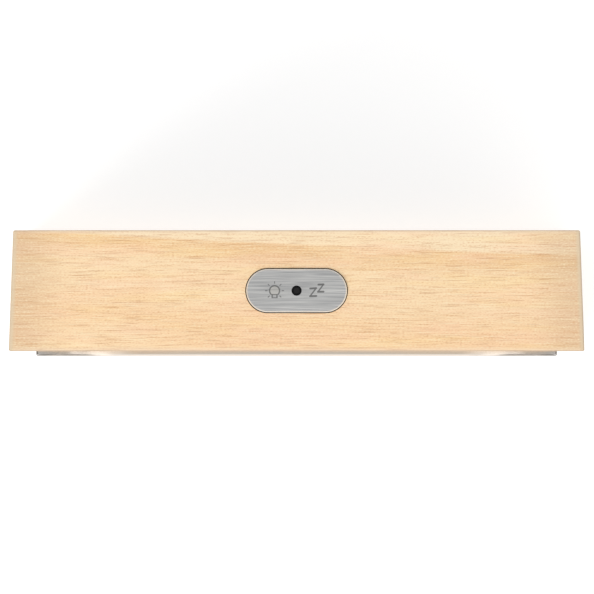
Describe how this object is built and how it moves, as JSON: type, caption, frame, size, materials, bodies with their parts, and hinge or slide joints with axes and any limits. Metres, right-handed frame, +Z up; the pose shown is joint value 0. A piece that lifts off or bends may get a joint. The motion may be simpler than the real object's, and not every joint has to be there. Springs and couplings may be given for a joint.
{
  "type": "alarm clock",
  "caption": "Square wooden alarm clock with a round polished bezel, glazed dial with hands, and a steel snooze and light button set into its top.",
  "frame": {"origin": "middle of the clock's bounding box, on the plane that its four rubber feet stand on", "axes": "+X to the right seen from the front, +Y from the dial to the back, +Z up"},
  "size_m": [0.12, 0.0262, 0.1218],
  "materials": {
    "wood": "satin",
    "bezel_metal": "polished",
    "window_glass": "gloss",
    "rubber": "matte",
    "frosted_plastic": "satin",
    "white_plastic": "satin",
    "dial_face": "matte",
    "brass": "polished",
    "cover_plastic": "matte",
    "knob_plastic": "satin",
    "steel_screws": "polished",
    "board_green": "satin",
    "switch_body": "satin",
    "lamp": "gloss",
    "movement_plastic": "satin",
    "can_metal": "satin",
    "bobbin_plastic": "satin",
    "copper_wire": "gloss",
    "soft_iron": "satin",
    "cell_jacket": "gloss",
    "spring_metal": "satin",
    "lead_red": "satin",
    "lead_white": "satin",
    "magnet": "matte",
    "wheel_plastic": "satin",
    "motion_plastic": "satin",
    "hand_black": "satin",
    "hand_red": "satin",
    "hand_orange": "satin",
    "slider_plastic": "satin",
    "button_steel": "brushed",
    "sensor_window": "gloss",
    "plunger_plastic": "satin"
  },
  "bodies": {
    "clock": {"case": "wood", "bezel": "bezel_metal", "glass": "window_glass", "glass_gasket": "rubber", "rubber_feet": "rubber", "light_ring": "frosted_plastic", "dial_frame": "white_plastic", "switch_bracket": "white_plastic", "dial": "dial_face", "centre_nut": "brass", "alarm_contact": "brass", "rear_cover": "cover_plastic", "buzzer": "knob_plastic", "rear_cover_screws": "steel_screws", "bracket_screws": "steel_screws", "movement_screws": "steel_screws", "switch_board": "board_green", "circuit_board": "board_green", "snooze_switches": "switch_body", "light_sensor": "switch_body", "control_chip": "switch_body", "dial_lamps": "lamp", "movement_front": "movement_plastic", "movement_back": "movement_plastic", "crystal": "can_metal", "coil_bobbin": "bobbin_plastic", "coil_winding": "copper_wire", "stator": "soft_iron", "battery": "cell_jacket", "contact_positive": "spring_metal", "contact_negative": "spring_metal", "buzzer_lead": "lead_red", "switch_lead": "lead_white"},
    "second_group": {"second_wheel": "wheel_plastic", "second_hand": "hand_red"},
    "third": {"third_wheel": "wheel_plastic"},
    "centre": {"centre_wheel": "wheel_plastic"},
    "fifth": {"fifth_wheel": "wheel_plastic"},
    "rotor": {"rotor_magnet": "magnet", "rotor_pinion": "wheel_plastic"},
    "minute_group": {"cannon_pinion": "motion_plastic", "minute_hand": "hand_black"},
    "minute_setting": {"minute_wheel": "motion_plastic", "set_knob": "knob_plastic"},
    "hour_group": {"hour_wheel": "motion_plastic", "hour_hand": "hand_black"},
    "alarm_group": {"alarm_wheel": "motion_plastic", "alarm_hand": "hand_orange"},
    "alarm_setting": {"alarm_pinion": "motion_plastic", "alarm_knob": "cover_plastic"},
    "slider": {"alarm_slider": "slider_plastic"},
    "button": {"button_cap": "button_steel", "button_carrier": "knob_plastic", "sensor_lens": "sensor_window", "switch_plungers": "plunger_plastic"},
    "door": {"battery_door": "cover_plastic"}
  },
  "joints": [
    {"name": "second_hand_turn", "type": "hinge", "parent": "clock", "child": "second_group", "pos_m": [0, -0.0001, 0.061], "axis": [0, 1, 0], "continuous": true},
    {"name": "third_wheel_turn", "type": "hinge", "parent": "clock", "child": "third", "pos_m": [-0.00781, -0.0001, 0.06756], "axis": [0, 1, 0], "continuous": true},
    {"name": "centre_wheel_turn", "type": "hinge", "parent": "clock", "child": "centre", "pos_m": [0, -0.0001, 0.061], "axis": [0, 1, 0], "continuous": true},
    {"name": "fifth_wheel_turn", "type": "hinge", "parent": "clock", "child": "fifth", "pos_m": [0.0051, -0.0001, 0.06983], "axis": [0, 1, 0], "continuous": true},
    {"name": "rotor_turn", "type": "hinge", "parent": "clock", "child": "rotor", "pos_m": [0.01299, -0.0001, 0.07271], "axis": [0, 1, 0], "continuous": true},
    {"name": "minute_hand_turn", "type": "hinge", "parent": "clock", "child": "minute_group", "pos_m": [0, -0.0001, 0.061], "axis": [0, 1, 0], "continuous": true},
    {"name": "set_knob_turn", "type": "hinge", "parent": "clock", "child": "minute_setting", "pos_m": [0.00957, -0.0001, 0.05654], "axis": [0, 1, 0], "continuous": true},
    {"name": "hour_hand_turn", "type": "hinge", "parent": "clock", "child": "hour_group", "pos_m": [0, -0.0001, 0.061], "axis": [0, 1, 0], "continuous": true},
    {"name": "alarm_hand_turn", "type": "hinge", "parent": "clock", "child": "alarm_group", "pos_m": [0, -0.0001, 0.061], "axis": [0, 1, 0], "continuous": true},
    {"name": "alarm_knob_turn", "type": "hinge", "parent": "clock", "child": "alarm_setting", "pos_m": [-0.01269, -0.0001, 0.05638], "axis": [0, 1, 0], "continuous": true},
    {"name": "alarm_switch_slide", "type": "slide", "parent": "clock", "child": "slider", "axis": [1, 0, 0], "range_m": [0, 0.004]},
    {"name": "snooze_button_press", "type": "slide", "parent": "clock", "child": "button", "axis": [0, 0, -1], "range_m": [0, 0.0005], "stiffness_N_per_m": 600, "springref_m": -0.001},
    {"name": "battery_door_open", "type": "hinge", "parent": "clock", "child": "door", "pos_m": [0, 0.01145, 0.02585], "axis": [-1, 0, 0], "range_deg": [0, 95]}
  ],
  "couplings": [
    {"joint": "third_wheel_turn", "follows": "second_hand_turn", "ratio": -0.13333},
    {"joint": "centre_wheel_turn", "follows": "second_hand_turn", "ratio": 0.016667},
    {"joint": "fifth_wheel_turn", "follows": "second_hand_turn", "ratio": -5},
    {"joint": "rotor_turn", "follows": "second_hand_turn", "ratio": 30},
    {"joint": "set_knob_turn", "follows": "minute_hand_turn", "ratio": -0.33333},
    {"joint": "hour_hand_turn", "follows": "minute_hand_turn", "ratio": 0.083333},
    {"joint": "alarm_knob_turn", "follows": "alarm_hand_turn", "ratio": -2}
  ]
}
